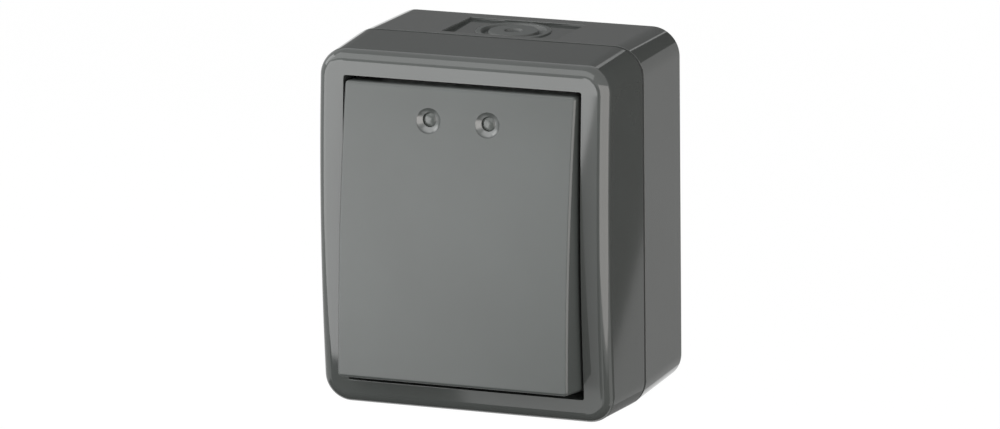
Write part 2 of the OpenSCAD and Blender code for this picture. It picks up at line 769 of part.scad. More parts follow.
// Coil spring between the plunger and the end of its bore
module plunger_spring() {
    ring_steps = 14;
    sides = 6;
    low = plunger_top + spring_wire;
    high = spring_seat - spring_wire;
    count = spring_turns * ring_steps;
    points = [for (i = [0 : count], k = [0 : sides - 1]) let (
        a = 360 * i / ring_steps, b = 360 * k / sides, r = spring_r + spring_wire * cos(b))
        [r * cos(a), r * sin(a), low + (high - low) * i / count + spring_wire * sin(b)]];
    faces = concat(
        [[for (k = [0 : sides - 1]) k]],
        [[for (k = [sides - 1 : -1 : 0]) count * sides + k]],
        [for (i = [0 : count - 1], k = [0 : sides - 1]) let (
            a = i * sides + k, b = i * sides + (k + 1) % sides)
            each [[a, a + sides, b + sides], [a, b + sides, b]]]);
    color("#c0c4c8") stand() rocked(-rocker_tilt) polyhedron(points = points, faces = faces, convexity = 8);
}

// Centre of the plunger's tip as the bridge sees it, when the rocker stands at an angle
function tip_at(a) = let (
    r = plunger_reach - plunger_tip,
    v = -r * sin(a),
    w = pivot_w - fulcrum_w - r * cos(a),
    b = bridge_ratio * a)
    [v * cos(b) + w * sin(b), w * cos(b) - v * sin(b)];
function tip_heading(a) = let (d = tip_at(a - 0.5) - tip_at(a + 0.5)) d / norm(d);

// Trough that the tip runs in: the tip's path set off by its radius and a gap
function trough() = [for (k = [-4 : 4]) let (a = -rocker_tilt * k / 4, t = tip_heading(a))
    tip_at(a) + [t.y, -t.x] * (plunger_tip + tip_gap)];

// Rocking bar on the fulcrum blade, with a contact tip at each end
module contact_bridge() {
    run = trough();
    brow = 1.2;
    shoulder_v = run[8].x + brow;
    shoulder_w = run[8].y + brow * 0.6;
    low = -bridge_t / 2;
    groove_r = fulcrum_r + running_gap;
    color("#d6b25a") stand() translate([0, 0, fulcrum_w]) rotate([bridge_swing, 0, 0])
        difference() {
            union() {
                rotate([90, 0, 90]) translate([0, 0, -bridge_x]) linear_extrude(2 * bridge_x) polygon(concat(
                    [[-shoulder_v, shoulder_w]], run, [[shoulder_v, shoulder_w], [shoulder_v + 1, -low],
                    [bridge_end, -low], [bridge_end, low], [-bridge_end, low], [-bridge_end, -low],
                    [-shoulder_v - 1, -low]]));
                for (sv = [-1, 1]) pin(0, sv * tip_v, tip_r, low - tip_h, 0);
            }
            cross_pin([-bridge_x - cut, bridge_x + cut], 0, groove_r);
            rotate([90, 0, 90]) translate([0, 0, -bridge_x - cut]) linear_extrude(2 * (bridge_x + cut))
                polygon([[-groove_r, 0], [groove_r, 0], [1, 2 * low], [-1, 2 * low]]);
        }
}

rear_box();
front_cover();
box_gasket();
top_entry_grommet();
bottom_entry_grommet();
sealing_membrane();
cover_screws();
mechanism_base();
mechanism_plate();
mechanism_rivets();
mechanism_screws();
common_contact();
upper_contact();
lower_contact();
terminal_clamps();
terminal_screws();
lamp_board();
pilot_lamp_left();
pilot_lamp_right();
lamp_leads();
rocker();
lens_left();
lens_right();
actuator();
plunger();
plunger_spring();
contact_bridge();
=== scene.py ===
"""Surface mounted rocker switch for damp rooms: its surfaces, finishes, studio light and camera.

The housing, the rocker, the two windows and the entry grommets are modelled here over the solids of the
frame. Everything inside keeps its solid and gets its finish. Lengths are millimetres in the switch's own
plan, x right, v up and w out from the wall, and become metres of the frame where a point is placed.
"""

import math

import bmesh
import bpy
from mathutils import Matrix, Vector


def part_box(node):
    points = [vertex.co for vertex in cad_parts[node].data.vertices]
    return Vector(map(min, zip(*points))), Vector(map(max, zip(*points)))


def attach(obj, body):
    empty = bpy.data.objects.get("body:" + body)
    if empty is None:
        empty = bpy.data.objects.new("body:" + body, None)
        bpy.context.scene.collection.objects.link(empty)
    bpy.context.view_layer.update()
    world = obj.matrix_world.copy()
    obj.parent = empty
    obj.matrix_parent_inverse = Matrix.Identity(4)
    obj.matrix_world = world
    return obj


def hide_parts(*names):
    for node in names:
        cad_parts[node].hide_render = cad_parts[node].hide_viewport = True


bpy.context.scene.view_settings.view_transform = "Standard"
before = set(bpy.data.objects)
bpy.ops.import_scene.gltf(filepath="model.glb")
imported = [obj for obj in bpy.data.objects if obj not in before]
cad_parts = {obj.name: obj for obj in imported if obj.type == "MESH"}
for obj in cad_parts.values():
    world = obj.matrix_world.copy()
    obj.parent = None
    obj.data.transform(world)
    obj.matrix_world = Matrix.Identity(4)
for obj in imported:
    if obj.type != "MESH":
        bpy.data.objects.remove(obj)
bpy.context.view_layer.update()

# A comparison allows TINY, a cutting shape reaches PAST its piece, and a joined one takes a BITE of it

MM = 0.001
OUT = Vector((0, -1, 0))
UP = Vector((0, 0, 1))
TINY = 0.002
PAST = 1
BITE = 0.5


# Plan of the switch

def place(x, v, w):
    """A point of the plan as a point of the frame."""
    return Vector((x, -w, v)) * MM


def plan_of(point):
    """x, v and w of a point of the frame, in millimetres."""
    return point.x / MM, point.z / MM, -point.y / MM


# Sizes of the housing

cover_low, cover_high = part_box("front_cover")
half_w = cover_high.x / MM
half_h = cover_high.z / MM
front_w = -cover_low.y / MM
seam_w = 24.0

corner_r = 6.5
edge_r = 2.4
cover_bow = 1.9
cover_draft = 0.8
box_draft = 0.5
wall = 2.6
back_wall = 2.2
window_x = half_w - 6.7
window_v = half_h - 6.0
window_r = 0.5
collar_t = 1.6
cavity_x = half_w - wall
cavity_v = half_h - wall
cavity_r = corner_r - wall
ceiling_w = front_w - cover_bow - 2.5
flange_top = 30.0
flange_base = 28.0
rebate = 1.2
rebate_depth = 3.0
rib_t = 1.4
screw_x = window_x - 5.8
screw_v = window_v - 7.0

entry_w = seam_w / 2 + 0.6
entry_r = 7.6
panel_x = 12.8
panel_l = 16.6
panel_depth = 0.8
panel_floor = half_h - box_draft / 2 - panel_depth


# Sizes of the rocker and its windows

pivot_w = front_w - 9.2
rocker_tilt = 5.9
rocker_x = window_x - 0.5
rocker_v = window_v - 1.25
rocker_shift = 0.35
rocker_corner = 1.1
rocker_edge_r = 0.6
rocker_bow = 1.4
rocker_draft = 0.25
rocker_wall = 1.6
rocker_base = pivot_w + 0.5
rocker_apex = pivot_w + 12.2 + rocker_bow
ceiling_t = 2.2
lens_x = 6.5
lens_v = rocker_v - rocker_shift - 7.2
lens_r = 1.5
dish_r = 2.7
dish_depth = 1.0


# Bench tools

def deselect():
    """Nothing selected, in object mode."""
    if bpy.context.mode != "OBJECT":
        bpy.ops.object.mode_set(mode="OBJECT")
    bpy.ops.object.select_all(action="DESELECT")


def choose(piece):
    """The piece alone selected and active, in object mode."""
    deselect()
    piece.select_set(True)
    bpy.context.view_layer.objects.active = piece


def work_on(piece):
    """The piece alone selected and open in edit mode."""
    choose(piece)
    bpy.ops.object.mode_set(mode="EDIT")


def take_all(piece):
    """The piece open in edit mode with all of it selected."""
    work_on(piece)
    bpy.ops.mesh.select_all(action="SELECT")


def pick(kind, test):
    """Selects the vertices, edges or faces that pass a test, and nothing else. Returns how many."""
    mesh = bpy.context.edit_object.data
    shape = bmesh.from_edit_mesh(mesh)
    bpy.ops.mesh.select_mode(type=kind)
    for group in (shape.verts, shape.edges, shape.faces):
        for item in group:
            item.select = False
    items = {"VERT": shape.verts, "EDGE": shape.edges, "FACE": shape.faces}[kind]
    found = [item for item in items if test(item)]
    for item in found:
        item.select_set(True)
    shape.select_flush_mode()
    bmesh.update_edit_mesh(mesh)
    return len(found)


def settle(piece, smooth=32):
    """Place and turn go into the mesh, and the faces are shaded smooth up to an angle."""
    choose(piece)
    bpy.ops.object.transform_apply(location=True, rotation=True, scale=True)
    bpy.ops.object.shade_smooth_by_angle(angle=math.radians(smooth))


def weigh_normals(piece):
    """Flat faces stay flat beside their rounded edges."""
    choose(piece)
    weights = piece.modifiers.new("weights", "WEIGHTED_NORMAL")
    weights.mode = "FACE_AREA"
    weights.weight = 80
    weights.keep_sharp = True
    bpy.ops.object.modifier_apply(modifier=weights.name)


def combine(piece, others, operation):
    """Cuts other shapes out of a piece, or joins them to it, and takes them away."""
    deselect()
    for other in others:
        other.select_set(True)
    tool = others[0]
    bpy.context.view_layer.objects.active = tool
    if len(others) > 1:
        bpy.ops.object.join()
    choose(piece)
    change = piece.modifiers.new("change", "BOOLEAN")
    change.operation = operation
    change.solver = "EXACT"
    change.use_self = len(others) > 1
    change.object = tool
    bpy.ops.object.modifier_apply(modifier=change.name)
    bpy.data.objects.remove(tool)


def cut(piece, *others):
    """Cuts the other shapes out of a piece."""
    combine(piece, others, "DIFFERENCE")


def add(piece, *others):
    """Joins the other shapes to a piece."""
    combine(piece, others, "UNION")


def start_outline(name, half_x, half_v, corner, w, middle=(0, 0), steps=12, side_cuts=0, outwards=True):
    """A rounded rectangle at height w, open in edit mode, facing out or towards the wall."""
    deselect()
    turn = math.pi / 2 if outwards else -math.pi / 2
    bpy.ops.mesh.primitive_plane_add(size=1, location=place(middle[0], middle[1], w), rotation=(turn, 0, 0))
    piece = bpy.context.object
    piece.name = name
    piece.scale = (2 * half_x * MM, 2 * half_v * MM, 1)
    bpy.ops.object.transform_apply(location=True, rotation=True, scale=True)
    take_all(piece)
    if corner > 0:
        bpy.ops.mesh.bevel(offset=corner * MM, segments=steps, affect="VERTICES", profile=0.5)
    if side_cuts:
        pick("EDGE", lambda e: abs(e.verts[0].co.x - e.verts[1].co.x) < TINY * MM
             and e.calc_length() > 1.2 * corner * MM)
        bpy.ops.mesh.subdivide(number_cuts=side_cuts)
    bpy.ops.mesh.select_mode(type="FACE")
    bpy.ops.mesh.select_all(action="SELECT")
    return piece


def raise_face(height):
    """Draws the selected face straight along its normal."""
    bpy.ops.mesh.extrude_region_shrink_fatten(TRANSFORM_OT_shrink_fatten={"value": height * MM})


def draw_in(inwards, height):
    """Draws the selected face along its normal with slanted sides."""
    bpy.ops.mesh.inset(thickness=inwards * MM, depth=height * MM, use_even_offset=True, use_boundary=True)


def round_over(radius, steps):
    """Draws the selected face through a quarter round, ending flat."""
    for k in range(steps):
        a, b = (math.radians(90 * j / steps) for j in (k, k + 1))
        draw_in(radius * (math.cos(a) - math.cos(b)), radius * (math.sin(b) - math.sin(a)))


def close_back():
    """Closes the open side of a raised outline and points all faces outwards."""
    bpy.ops.mesh.select_mode(type="EDGE")
    bpy.ops.mesh.select_all(action="DESELECT")
    bpy.ops.mesh.select_non_manifold(extend=False)
    bpy.ops.mesh.edge_face_add()
    bpy.ops.mesh.select_all(action="SELECT")
    bpy.ops.mesh.normals_make_consistent(inside=False)
    bpy.ops.object.mode_set(mode="OBJECT")


def block(half_x, half_v, corner, low, high, middle=(0, 0), steps=10):
    """Straight block with rounded corners."""
    piece = start_outline("block", half_x, half_v, corner, low, middle, steps)
    raise_face(high - low)
    close_back()
    return piece


def bar(x, v, w):
    """Block between two x, two v and two w."""
    middle = ((x[0] + x[1]) / 2, (v[0] + v[1]) / 2)
    return block(abs(x[1] - x[0]) / 2, abs(v[1] - v[0]) / 2, 0, w[0], w[1], middle)


def pin(x, v, radius, low, high, sides=48):
    """Round pin along w."""
    deselect()
    bpy.ops.mesh.primitive_cylinder_add(vertices=sides, radius=radius * MM, depth=(high - low) * MM,
                                        location=place(x, v, (low + high) / 2),
                                        rotation=(math.pi / 2, 0, 0))
    piece = bpy.context.object
    bpy.ops.object.transform_apply(location=True, rotation=True, scale=True)
    return piece


def join_rows(face_w):
    """Joins the left and right points of the flat face into rows, so that it can bow."""
    shape = bmesh.from_edit_mesh(bpy.context.edit_object.data)
    levels = {}
    for point in shape.verts:
        v, w = plan_of(point.co)[1:]
        if abs(w - face_w) < TINY:
            levels.setdefault(round(v, 3), []).append(point.index)
    for level in sorted(levels)[1:-1]:
        if len(levels[level]) == 2:
            pick("VERT", lambda p: abs(plan_of(p.co)[2] - face_w) < TINY
                 and abs(plan_of(p.co)[1] - level) < TINY)
            bpy.ops.mesh.vert_connect()


def bow(base_w, half_v, sag):
    """Lowers each level of the drawn face by its share of the bow."""
    shape = bmesh.from_edit_mesh(bpy.context.edit_object.data)
    levels = []
    for height in sorted(abs(plan_of(p.co)[1]) for p in shape.verts if plan_of(p.co)[2] > base_w + TINY):
        if levels and height - levels[-1][1] < TINY:
            levels[-1][1] = height
        else:
            levels.append([height, height])
    for low, high in levels:
        pick("VERT", lambda p: plan_of(p.co)[2] > base_w + TINY
             and low - TINY / 4 < abs(plan_of(p.co)[1]) < high + TINY / 4)
        drop = sag * ((low + high) / 2 / half_v) ** 2
        bpy.ops.transform.translate(value=-OUT * drop * MM)


def bowed_block(name, half_x, half_v, corner, low, apex, sag, draft, rounding, side_cuts, steps):
    """Block with drafted sides, a rounded front edge and a face that bows from top to bottom."""
    piece = start_outline(name, half_x, half_v, corner, low, steps=steps, side_cuts=side_cuts)
    draw_in(draft, apex - rounding - low)
    round_over(rounding, 8)
    join_rows(apex)
    bow(low, half_v, sag)
    close_back()
    return piece


def bowed(apex, sag, half_v, v):
    """Height of a bowed face at a distance v from its middle."""
    return apex - sag * (v / half_v) ** 2


def soften(piece, test, width, segments=3):
    """Rounds the edges that pass a test."""
    work_on(piece)
    if pick("EDGE", test):
        bpy.ops.mesh.bevel(offset=width * MM, segments=segments, affect="EDGES", profile=0.5,
                           clamp_overlap=True, loop_slide=True)
    bpy.ops.object.mode_set(mode="OBJECT")


def second_finish(piece, test):
    """Gives the faces that pass a test a material slot of their own, after the slot of the others."""
    piece.data.materials.append(None)
    piece.data.materials.append(None)
    work_on(piece)
    pick("FACE", test)
    piece.active_material_index = 1
    bpy.ops.object.material_slot_assign()
    bpy.ops.object.mode_set(mode="OBJECT")


def turned(name, centre, axis, profile, sides):
    """Round piece drawn through a list of radius and height along its axis."""
    deselect()
    turn = UP.rotation_difference(axis).to_euler()
    radius, height = profile[0]
    bpy.ops.mesh.primitive_circle_add(vertices=sides, radius=radius * MM, fill_type="NGON",
                                      location=centre + axis * height * MM, rotation=turn)
    piece = bpy.context.object
    piece.name = name
    bpy.ops.object.transform_apply(location=True, rotation=True, scale=True)
    work_on(piece)
    bpy.ops.mesh.select_mode(type="FACE")
    bpy.ops.mesh.select_all(action="SELECT")
    for next_radius, next_height in profile[1:]:
        bpy.ops.mesh.extrude_region_move(
            TRANSFORM_OT_translate={"value": axis * (next_height - height) * MM})
        ratio = next_radius / radius
        if abs(ratio - 1) > 1e-6:
            bpy.ops.transform.resize(value=(ratio, ratio, ratio),
                                     center_override=centre + axis * next_height * MM)
        radius, height = next_radius, next_height
    close_back()
    return piece


def copy_of(piece, name):
    """A copy of a piece with its own mesh, open in edit mode with all of it selected."""
    choose(piece)
    bpy.ops.object.duplicate(linked=False)
    twin = bpy.context.object
    twin.name = name
    take_all(twin)
    return twin


def shift_down(piece):
    """The rocker's cap sits a little below its pivot."""
    take_all(piece)
    bpy.ops.transform.translate(value=-UP * rocker_shift * MM)
    bpy.ops.object.mode_set(mode="OBJECT")


def rock(piece, angle):
    """Turns a piece drawn level about the rocker's pivot. A positive angle presses the top in."""
    take_all(piece)
    bpy.ops.transform.rotate(value=math.radians(-angle), orient_axis="X",
                             center_override=place(0, 0, pivot_w))
    bpy.ops.object.mode_set(mode="OBJECT")


def around(x, v, half_x, half_v, corner, reach=TINY):
    """Whether a point of the plan lies on the line of a rounded rectangle."""
    dx = max(abs(x) - half_x + corner, 0)
    dv = max(abs(v) - half_v + corner, 0)
    if dx > 0 and dv > 0:
        return abs(math.hypot(dx, dv) - corner) < reach
    on_side = abs(dx - corner) < reach and abs(v) <= half_v
    on_end = abs(dv - corner) < reach and abs(x) <= half_x
    return on_side or on_end


def both_ends(edge, test):
    """Whether both ends of an edge pass a test of x, v and w."""
    return all(test(*plan_of(point.co)) for point in edge.verts)


def rise(edge):
    """How far an edge climbs along w, in millimetres."""
    first, last = (plan_of(point.co)[2] for point in edge.verts)
    return abs(first - last)


# Front cover: bowed shell, lip, collar, flange and the ribs between collar and wall

cover = bowed_block("cover", half_w, half_h, corner_r, seam_w, front_w, cover_bow, cover_draft, edge_r,
                    side_cuts=13, steps=16)
cut(cover, block(cavity_x, cavity_v, cavity_r, seam_w - PAST, ceiling_w))

lip_play = 0.15
lip_t = 1.05
lip_low = seam_w - rebate_depth + 1.6
lip_high = seam_w + 0.4
lip_x = cavity_x + rebate - lip_play
lip_v = cavity_v + rebate - lip_play
lip_corner = cavity_r + rebate - lip_play
lip = block(lip_x, lip_v, lip_corner, lip_low, lip_high)
cut(lip, block(lip_x - lip_t, lip_v - lip_t, lip_corner - lip_t,
               seam_w - rebate_depth - PAST, seam_w + 2 * PAST))
add(cover, lip)

inner_top = ceiling_w + BITE
collar = block(window_x + collar_t, window_v + collar_t, window_r + collar_t, flange_base, inner_top)
stays = []
for side in (-1, 1):
    for v in (-window_v / 2, 0, window_v / 2):
        stays.append(bar((side * (window_x + collar_t / 2), side * (cavity_x + BITE)),
                         (v - rib_t / 2, v + rib_t / 2), (flange_top, inner_top)))
    for x in (-window_x / 2, window_x / 2):
        stays.append(bar((x - rib_t / 2, x + rib_t / 2),
                         (side * (window_v + collar_t / 2), side * (cavity_v + BITE)),
                         (flange_top, inner_top)))
add(cover, collar, *stays)

neck_low = -8.0
neck_high = lens_v + 4.8
neck_x = 10.5
neck_corner = 1.5
neck_gap = 2.1
cover_hole_r = 1.7
cut(cover, block(window_x, window_v, window_r, flange_top, front_w + 2 * PAST))
cut(cover, block(neck_x + neck_gap, (neck_high - neck_low) / 2 + neck_gap, neck_corner + neck_gap,
                 flange_base - PAST, flange_top + PAST, (0, (neck_low + neck_high) / 2)))
cut(cover, *[pin(sx * screw_x, sv * screw_v, cover_hole_r, flange_base - PAST, flange_top + PAST)
             for sx in (-1, 1) for sv in (-1, 1)])


def on_window_rim(x, v, w):
    """Whether a point lies on the window's wall in front of the collar."""
    return w > ceiling_w and around(x, v, window_x, window_v, window_r)


def on_cover_seam(x, v, w):
    """Whether a point lies on the cover's outline at the seam."""
    return abs(w - seam_w) < TINY and around(x, v, half_w, half_h, corner_r)


window_edge_r = 0.3
cover_seam_r = 0.2
soften(cover, lambda e: both_ends(e, on_window_rim) and rise(e) < 1, window_edge_r)
soften(cover, lambda e: both_ends(e, on_cover_seam), cover_seam_r)
settle(cover)
weigh_normals(cover)


# Rear box: drafted shell, shadow gap at the seam painted dark as shade, rebate for the gasket, columns,
# fixings and entry panels

back_chamfer = 0.6
back_edge_r = 0.15
box = start_outline("rear_housing", half_w, half_h, corner_r, seam_w, steps=16, outwards=False)
draw_in(box_draft, seam_w - back_chamfer)
draw_in(back_chamfer, back_chamfer)
close_back()
soften(box, lambda e: both_ends(e, lambda x, v, w: w < 1) and e.calc_face_angle(0) > 0.6
       and rise(e) < TINY, back_edge_r, segments=2)

gap_width = 0.9
gap_depth = 0.3
shadow_gap = block(half_w + PAST, half_h + PAST, corner_r + PAST, seam_w - gap_width, seam_w + PAST,
                   steps=16)
cut(shadow_gap, block(half_w - gap_depth, half_h - gap_depth, corner_r - gap_depth,
                      seam_w - 2 * PAST, seam_w + 2 * PAST, steps=16))
cut(box, shadow_gap)
cut(box, block(cavity_x, cavity_v, cavity_r, back_wall, seam_w + PAST))
cut(box, block(cavity_x + rebate, cavity_v + rebate, cavity_r + rebate, seam_w - rebate_depth,
               seam_w + PAST))

boss_r = 3.5
boss_top = 26.8
post_x = cavity_x - 5.4
post_top = 22.0
column_base = back_wall / 2
web_top = seam_w - rebate_depth - 1
post_web_top = web_top - 1
fixing_v = 27.5
fixing_boss_r = 4.4
fixing_boss_top = back_wall + 0.8
columns = []
for sx in (-1, 1):
    for sv in (-1, 1):
        columns.append(pin(sx * screw_x, sv * screw_v, boss_r, column_base, boss_top))
        columns.append(bar((sx * screw_x, sx * (cavity_x + BITE)),
                           (sv * screw_v - rib_t / 2, sv * screw_v + rib_t / 2), (column_base, web_top)))
    columns.append(pin(sx * post_x, 0, boss_r, column_base, post_top))
    columns.append(bar((sx * post_x, sx * (cavity_x + BITE)), (-rib_t / 2, rib_t / 2),
                       (column_base, post_web_top)))
for sv in (-1, 1):
    columns.append(pin(0, sv * fixing_v, fixing_boss_r, column_base, fixing_boss_top))
add(box, *columns)

bore_r = 1.5
bore_depth = 15
fixing_r = 2.2
bores = []
for sx in (-1, 1):
    for sv in (-1, 1):
        bores.append(pin(sx * screw_x, sv * screw_v, bore_r, boss_top - bore_depth, boss_top + PAST,
                         sides=32))
    bores.append(pin(sx * post_x, 0, bore_r, post_top - bore_depth, post_top + PAST, sides=32))
for sv in (-1, 1):
    bores.append(pin(0, sv * fixing_v, fixing_r, -PAST, back_wall + 3 * PAST))
cut(box, *bores)

break_out_r = 9.0
groove_width = 1.2
groove_depth = 1.0
groove = pin(0, 0, break_out_r, -PAST, groove_depth, sides=64)
cut(groove, pin(0, 0, break_out_r - groove_width, -2 * PAST, groove_depth + PAST, sides=64))
cut(box, groove)

panel_reach = 10
entry_cut = 8
for sv in (-1, 1):
    cut(box, bar((-panel_x, panel_x), (sv * panel_floor, sv * (panel_floor + panel_reach)),
                 (entry_w - panel_l / 2, entry_w + panel_l / 2)))
    deselect()
    bpy.ops.mesh.primitive_cylinder_add(vertices=72, radius=entry_r * MM, depth=entry_cut * MM,
                                        location=place(0, sv * half_h, entry_w))
    cut(box, bpy.context.object)


def on_panel_rim(x, v, w):
    """Whether a point lies on the outer rim of an entry panel."""
    wide, tall = abs(x), abs(w - entry_w)
    inside = wide < panel_x + TINY and tall < panel_l / 2 + TINY
    on_line = abs(wide - panel_x) < TINY or abs(tall - panel_l / 2) < TINY
    return abs(v) > panel_floor + panel_depth / 2 and inside and on_line


def on_gap_rim(x, v, w):
    """Whether a point lies on the box's outline behind the shadow gap."""
    return abs(w - seam_w + gap_width) < TINY and around(x, v, half_w, half_h, corner_r, 10 * TINY)


def in_painted_gap_shade(face):
    """Whether a face belongs to the shadow gap or to the box's rim beside it. These faces get dark rubber
    as painted shade.
    """
    x, v, w = plan_of(face.calc_center_median())
    margin = gap_depth + 0.1
    corner_reach = 44.5
    outside = abs(x) > half_w - margin or abs(v) > half_h - margin or math.hypot(x, v) > corner_reach
    return w > seam_w - gap_width - TINY and outside


panel_edge_r = 0.2
gap_edge_r = 0.1
soften(box, lambda e: both_ends(e, on_panel_rim) and e.calc_face_angle(0) > 1, panel_edge_r)
soften(box, lambda e: both_ends(e, on_gap_rim), gap_edge_r)
# The shadow gap and the rim beside it get a second slot. It is later filled with dark seal rubber as
# painted shade along the seam.
second_finish(box, in_painted_gap_shade)
settle(box)
weigh_normals(box)


# Rocker: bowed cap on side walls, ribs, the socket for the actuator, two dishes and the lens holes

rocker = bowed_block("rocker_cap", rocker_x, rocker_v, rocker_corner, rocker_base, rocker_apex, rocker_bow,
                     rocker_draft, rocker_edge_r, side_cuts=13, steps=6)
shift_down(rocker)

hollow_x = rocker_x - rocker_wall
hollow_v = rocker_v - rocker_wall
hollow_corner = 0.8
ceiling = rocker_apex - ceiling_t
hollow = start_outline("hollow", hollow_x, hollow_v, hollow_corner, rocker_base - PAST,
                       steps=4, side_cuts=13)
raise_face(ceiling - rocker_base + PAST)
join_rows(ceiling)
bow(rocker_base - PAST, rocker_v, rocker_bow)
close_back()
shift_down(hollow)
cut(rocker, hollow)

cap_rib_t = 1.2
cap_rib_x = 14
cap_rib_v = 12
cap_rib_low = rocker_apex - rocker_bow - ceiling_t - 3.2
cap_rib_high = rocker_apex - rocker_bow - 0.5
socket_x = 5.55
socket_v = 4.55
socket_wall = 1.5
socket_base = pivot_w + 3.5
socket_top = ceiling + 0.6
pocket_top = pivot_w + 10.5
ribs = [bar((-socket_x - socket_wall, socket_x + socket_wall),
            (-socket_v - socket_wall, socket_v + socket_wall), (socket_base, socket_top))]
for s in (-1, 1):
    ribs.append(bar((s * cap_rib_x - cap_rib_t / 2, s * cap_rib_x + cap_rib_t / 2),
                    (-hollow_v - rocker_shift - BITE, hollow_v - rocker_shift + BITE),
                    (cap_rib_low, cap_rib_high)))
    rib_v = s * cap_rib_v - rocker_shift
    ribs.append(bar((-hollow_x - BITE, hollow_x + BITE), (rib_v - cap_rib_t / 2, rib_v + cap_rib_t / 2),
                    (cap_rib_low, cap_rib_high)))
add(rocker, *ribs)

catch_x = 2.6
catch_v_low = 4.3
catch_v_high = 6.7
catch_low = pocket_top - 4.6
catch_high = pocket_top - 3.0
pockets = [bar((-socket_x, socket_x), (-socket_v, socket_v), (rocker_base - PAST, pocket_top))]
for s in (-1, 1):
    pockets.append(bar((-catch_x, catch_x), (s * catch_v_low, s * catch_v_high), (catch_low, catch_high)))
cut(rocker, *pockets)

lens_play = 0.05
lens_face = bowed(rocker_apex, rocker_bow, rocker_v, lens_v + rocker_shift)
ball_r = (dish_r ** 2 + dish_depth ** 2) / (2 * dish_depth)
for s in (-1, 1):
    deselect()
    ball_middle = place(s * lens_x, lens_v, lens_face - dish_depth + ball_r)
    bpy.ops.mesh.primitive_uv_sphere_add(segments=96, ring_count=64, radius=ball_r * MM,
                                         location=ball_middle, rotation=(math.pi / 2, 0, 0))
    cut(rocker, bpy.context.object)
cut(rocker, *[pin(s * lens_x, lens_v, lens_r + lens_play, rocker_base, rocker_apex + PAST)
              for s in (-1, 1)])


def from_lens(x, v):
    """How far a point of the plan lies from the middle of the nearer lens."""
    return math.hypot(abs(x) - lens_x, v - lens_v)


def on_dish_rim(x, v, w):
    """Whether a point lies where a dish meets the rocker's face."""
    face_w = bowed(rocker_apex, rocker_bow, rocker_v, v + rocker_shift)
    return abs(from_lens(x, v) - dish_r) < 0.12 and abs(w - face_w) < 0.06


def in_dish(face):
    """Whether a face belongs to the polished hollow of a dish."""
    x, v, w = plan_of(face.calc_center_median())
    within_depth = lens_face - dish_depth - 0.1 < w < lens_face + 0.2
    return within_depth and lens_r + 0.06 < from_lens(x, v) < dish_r - 0.05


dish_edge_r = 0.14
soften(rocker, lambda e: both_ends(e, on_dish_rim) and e.calc_face_angle(0) > 0.3, dish_edge_r)
second_finish(rocker, in_dish)
settle(rocker)
weigh_normals(rocker)
rock(rocker, -rocker_tilt)


# Lenses: stem and flange behind the face, domed front in the dish

dome_r = 3.6
lens_stem_l = 2.3
lens_flange_r = lens_r + 0.8
lens_flange_t = 0.8
seat = bowed(ceiling, rocker_bow, rocker_v, lens_v + rocker_shift + lens_flange_r)
crown = lens_face - dish_depth + 0.15


def dome_point(angle):
    """Radius and height of the dome at an angle in degrees, from its rim to its crown."""
    radius = lens_r * math.cos(math.radians(angle))
    return radius, crown - dome_r + math.sqrt(dome_r ** 2 - radius ** 2)


lens_profile = [(lens_r, seat - lens_stem_l), (lens_r, seat - lens_flange_t),
                (lens_flange_r, seat - lens_flange_t), (lens_flange_r, seat), (lens_r, seat)]
lens_profile += [dome_point(angle) for angle in range(0, 90, 6)]
lens_left = turned("lens_cap_left", place(-lens_x, lens_v, 0), OUT, lens_profile, sides=64)
settle(lens_left)
rock(lens_left, -rocker_tilt)
lens_right = copy_of(lens_left, "lens_cap_right")
bpy.ops.transform.translate(value=(2 * lens_x * MM, 0, 0))
bpy.ops.object.mode_set(mode="OBJECT")


# Entry grommets: inner flange, neck through the wall, outer disc, ring groove and centre mark

inner_r = 8.7
inner_t = 1.0
neck_r = entry_r - 0.05
bead_r = entry_r + 0.35
bead_edge = 0.12
panel_seat = panel_floor - cavity_v
disc = panel_seat + 0.3
ring_outer_r = 6.98
ring_inner_r = 5.12
ring_floor_outer_r = 6.5
ring_floor_inner_r = 5.5
ring_depth = 1.0
ring_edge = 0.1
ring_root = 0.12
mark_r = 1.98
mark_depth = 0.5
mark_edge = 0.08
mark_slope = 0.12
grommet_profile = [
    (inner_r, -inner_t), (inner_r, 0),
    (neck_r, 0), (neck_r, panel_seat),
    (bead_r, panel_seat), (bead_r, disc - bead_edge), (bead_r - bead_edge, disc),
    (ring_outer_r, disc), (ring_outer_r - ring_edge, disc - ring_edge),
    (ring_floor_outer_r + ring_root, disc - ring_depth + ring_edge),
    (ring_floor_outer_r, disc - ring_depth),
    (ring_floor_inner_r, disc - ring_depth),
    (ring_floor_inner_r - ring_root, disc - ring_depth + ring_edge),
    (ring_inner_r + ring_edge, disc - ring_edge), (ring_inner_r, disc),
    (mark_r, disc), (mark_r - mark_edge, disc - mark_edge),
    (mark_r - mark_slope, disc - mark_depth + mark_edge),
    (mark_r - mark_slope - mark_edge, disc - mark_depth),
]
grommet_top = turned("grommet_top", place(0, cavity_v, entry_w), UP, grommet_profile, sides=72)
settle(grommet_top, smooth=40)
grommet_bottom = copy_of(grommet_top, "grommet_bottom")
bpy.ops.transform.rotate(value=math.pi, orient_axis="Y", center_override=place(0, 0, entry_w))
bpy.ops.object.mode_set(mode="OBJECT")


# Finishes

def feed(tree, socket, value):
    """Links a socket to a value that varies over the surface, or sets it to a plain one."""
    if isinstance(value, bpy.types.NodeSocket):
        tree.links.new(value, socket)
    else:
        socket.default_value = value


def noise(tree, where, scale, detail, roughness):
    """Noise over the piece, with scale in features per metre."""
    node = tree.nodes.new("ShaderNodeTexNoise")
    for socket, value in (("Vector", where), ("Scale", scale), ("Detail", detail),
                          ("Roughness", roughness)):
        feed(tree, node.inputs[socket], value)
    return node.outputs["Fac"]


